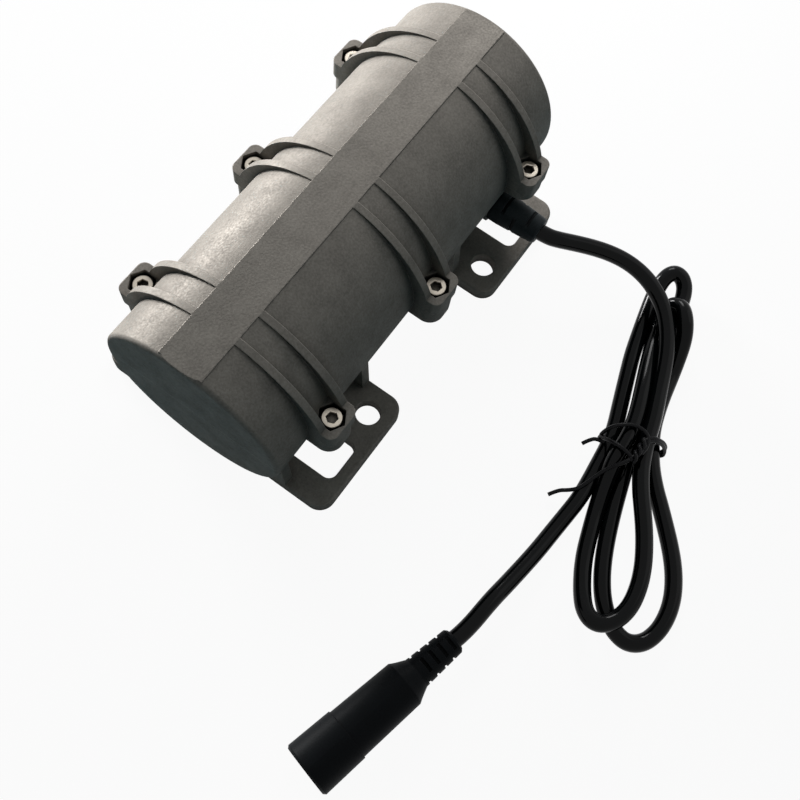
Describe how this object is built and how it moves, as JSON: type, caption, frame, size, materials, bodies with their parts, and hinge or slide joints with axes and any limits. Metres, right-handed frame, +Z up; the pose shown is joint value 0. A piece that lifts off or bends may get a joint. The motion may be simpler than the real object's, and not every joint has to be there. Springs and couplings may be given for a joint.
{
  "type": "vibration motor",
  "caption": "Cylindrical two-part cast housing with bolt-down feet around an inner-rotor motor whose shaft ends carry eccentric half-disc weights, with a tied supply cord.",
  "frame": {"origin": "on the mounting surface, under the middle of the housing", "axes": "+X along the shaft towards the end beside the cord exit, +Y across away from the cord exit, +Z up from the mounting surface"},
  "size_m": [0.1794, 0.1653, 0.0545],
  "materials": {
    "cast_housing": "bead-blasted gravity casting, slightly warm grey, satin",
    "bright_screws": "bright nickel-plated steel",
    "rubber_bush": "moulded black rubber, matt",
    "wire_insulation": "smooth insulation over fine strands",
    "case_steel": "drawn and plated steel tube",
    "turned_aluminium": "turned bar, fine concentric tool marks",
    "lamination_steel": "stacked stampings, edges visible, varnished",
    "insulator_nylon": "moulded natural nylon",
    "enamelled_copper": "varnished copper winding wire",
    "board_laminate": "green solder resist on glass laminate",
    "bearing_steel": "ground and polished bearing steel",
    "cage_steel": "pressed steel strip",
    "cable_jacket": "extruded flexible vinyl, glossy black",
    "tie_plastic": "black plastic-coated wire tie",
    "socket_plastic": "moulded black plastic, satin",
    "bright_contacts": "nickel-plated contacts",
    "shaft_steel": "ground steel bar",
    "spacer_brass": "turned brass",
    "plated_magnet": "nickel-plated sintered magnet",
    "weight_steel": "sawn and milled steel block",
    "set_screw_steel": "black-oxide alloy steel"
  },
  "bodies": {
    "housing": {"upper_shell": "cast_housing", "lower_shell": "cast_housing", "shell_screws": "bright_screws", "strain_relief": "rubber_bush", "feed_wires": "wire_insulation", "motor_can": "case_steel", "near_end_cap": "turned_aluminium", "far_end_cap": "turned_aluminium", "end_cap_screws": "bright_screws", "stator_core": "lamination_steel", "stator_insulators": "insulator_nylon", "stator_windings": "enamelled_copper", "driver_board": "board_laminate", "near_bearing_outer_ring": "bearing_steel", "far_bearing_outer_ring": "bearing_steel", "cable_lead": "cable_jacket", "cable_tail": "cable_jacket", "cable_hank": "cable_jacket", "cable_tie": "tie_plastic", "jack_body": "socket_plastic", "jack_barrel": "bright_contacts", "jack_pin": "bright_contacts"},
    "rotor": {"rotor_shaft": "shaft_steel", "shaft_spacers": "spacer_brass", "rotor_core": "lamination_steel", "rotor_magnets": "plated_magnet", "near_bearing_inner_ring": "bearing_steel", "far_bearing_inner_ring": "bearing_steel", "near_weight": "weight_steel", "far_weight": "weight_steel", "weight_set_screws": "set_screw_steel"},
    "near_cage": {"near_bearing_balls": "bearing_steel", "near_bearing_cage": "cage_steel"},
    "far_cage": {"far_bearing_balls": "bearing_steel", "far_bearing_cage": "cage_steel"}
  },
  "joints": [
    {"name": "rotor_spin", "type": "hinge", "parent": "housing", "child": "rotor", "pos_m": [0, 0, 0.029], "axis": [1, 0, 0], "continuous": true},
    {"name": "near_cage_spin", "type": "hinge", "parent": "housing", "child": "near_cage", "pos_m": [-0.022, 0, 0.029], "axis": [1, 0, 0], "continuous": true},
    {"name": "far_cage_spin", "type": "hinge", "parent": "housing", "child": "far_cage", "pos_m": [0.022, 0, 0.029], "axis": [1, 0, 0], "continuous": true}
  ],
  "couplings": [
    {"joint": "near_cage_spin", "follows": "rotor_spin", "ratio": 0.3889},
    {"joint": "far_cage_spin", "follows": "rotor_spin", "ratio": 0.3889}
  ]
}
